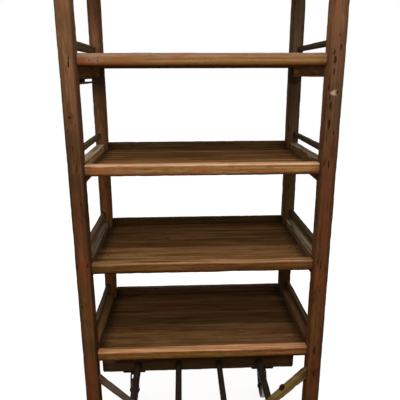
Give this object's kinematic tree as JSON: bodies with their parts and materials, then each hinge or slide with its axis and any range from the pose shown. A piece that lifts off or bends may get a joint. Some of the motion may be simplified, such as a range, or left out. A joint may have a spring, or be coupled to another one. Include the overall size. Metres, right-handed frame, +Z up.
{
  "type": "rolling cobbler rack",
  "caption": "Tall open wooden rack with tray shelves between square posts, guard laths at the sides and a bolster truck with tie rods on swivel casters.",
  "frame": {"origin": "on the floor, under the middle of the rack", "axes": "+Z up, the front faces -Y, +X to the right seen from the front"},
  "size_m": [0.716, 0.428, 1.55],
  "materials": {
    "post_oak": "old brown stain, worn edges",
    "rail_oak": "old brown stain, rubbed pale on the arrises",
    "deck_boards": "stained boards with dark seams",
    "bolster_oak": "blackened with age and grease",
    "black_iron": "blackened, dull",
    "cast_iron": "cast, worn bright on the tread"
  },
  "bodies": {
    "rack": {"front_left_post": "post_oak", "front_right_post": "post_oak", "rear_left_post": "post_oak", "rear_right_post": "post_oak", "left_knee_brace": "post_oak", "right_knee_brace": "post_oak", "front_bolster": "bolster_oak", "rear_bolster": "bolster_oak", "tie_rod_1": "black_iron", "tie_rod_2": "black_iron", "tie_rod_3": "black_iron", "tie_rod_4": "black_iron", "shelf_1_deck": "deck_boards", "shelf_1_front_rail": "rail_oak", "shelf_1_rear_rail": "rail_oak", "shelf_1_left_side_board": "rail_oak", "shelf_1_left_guard": "rail_oak", "shelf_1_right_side_board": "rail_oak", "shelf_1_right_guard": "rail_oak", "shelf_2_deck": "deck_boards", "shelf_2_front_rail": "rail_oak", "shelf_2_rear_rail": "rail_oak", "shelf_2_left_side_board": "rail_oak", "shelf_2_left_guard": "rail_oak", "shelf_2_right_side_board": "rail_oak", "shelf_2_right_guard": "rail_oak", "shelf_3_deck": "deck_boards", "shelf_3_front_rail": "rail_oak", "shelf_3_rear_rail": "rail_oak", "shelf_3_left_side_board": "rail_oak", "shelf_3_left_guard": "rail_oak", "shelf_3_right_side_board": "rail_oak", "shelf_3_right_guard": "rail_oak", "shelf_4_deck": "deck_boards", "shelf_4_front_rail": "rail_oak", "shelf_4_rear_rail": "rail_oak", "shelf_4_left_side_board": "rail_oak", "shelf_4_left_guard": "rail_oak", "shelf_4_right_side_board": "rail_oak", "shelf_4_right_guard": "rail_oak", "shelf_5_deck": "deck_boards", "shelf_5_front_rail": "rail_oak", "shelf_5_rear_rail": "rail_oak", "shelf_5_left_side_board": "rail_oak", "shelf_5_left_guard": "rail_oak", "shelf_5_right_side_board": "rail_oak", "shelf_5_right_guard": "rail_oak", "front_left_caster_plate": "black_iron", "front_right_caster_plate": "black_iron", "rear_left_caster_plate": "black_iron", "rear_right_caster_plate": "black_iron"},
    "front_left_swivel": {"front_left_caster_fork": "black_iron"},
    "front_left_wheel": {"front_left_caster_wheel": "cast_iron"},
    "front_right_swivel": {"front_right_caster_fork": "black_iron"},
    "front_right_wheel": {"front_right_caster_wheel": "cast_iron"},
    "rear_left_swivel": {"rear_left_caster_fork": "black_iron"},
    "rear_left_wheel": {"rear_left_caster_wheel": "cast_iron"},
    "rear_right_swivel": {"rear_right_caster_fork": "black_iron"},
    "rear_right_wheel": {"rear_right_caster_wheel": "cast_iron"}
  },
  "joints": [
    {"name": "front_left_swivel_turn", "type": "hinge", "parent": "rack", "child": "front_left_swivel", "pos_m": [-0.242, -0.191, 0.1018], "axis": [0, 0, 1], "continuous": true},
    {"name": "front_left_wheel_roll", "type": "hinge", "parent": "front_left_swivel", "child": "front_left_wheel", "pos_m": [-0.242, -0.161, 0.042], "axis": [1, 0, 0], "continuous": true},
    {"name": "front_right_swivel_turn", "type": "hinge", "parent": "rack", "child": "front_right_swivel", "pos_m": [0.242, -0.191, 0.1018], "axis": [0, 0, 1], "continuous": true},
    {"name": "front_right_wheel_roll", "type": "hinge", "parent": "front_right_swivel", "child": "front_right_wheel", "pos_m": [0.242, -0.161, 0.042], "axis": [1, 0, 0], "continuous": true},
    {"name": "rear_left_swivel_turn", "type": "hinge", "parent": "rack", "child": "rear_left_swivel", "pos_m": [-0.242, 0.191, 0.1018], "axis": [0, 0, 1], "continuous": true},
    {"name": "rear_left_wheel_roll", "type": "hinge", "parent": "rear_left_swivel", "child": "rear_left_wheel", "pos_m": [-0.242, 0.161, 0.042], "axis": [1, 0, 0], "continuous": true},
    {"name": "rear_right_swivel_turn", "type": "hinge", "parent": "rack", "child": "rear_right_swivel", "pos_m": [0.242, 0.191, 0.1018], "axis": [0, 0, 1], "continuous": true},
    {"name": "rear_right_wheel_roll", "type": "hinge", "parent": "rear_right_swivel", "child": "rear_right_wheel", "pos_m": [0.242, 0.161, 0.042], "axis": [1, 0, 0], "continuous": true}
  ]
}
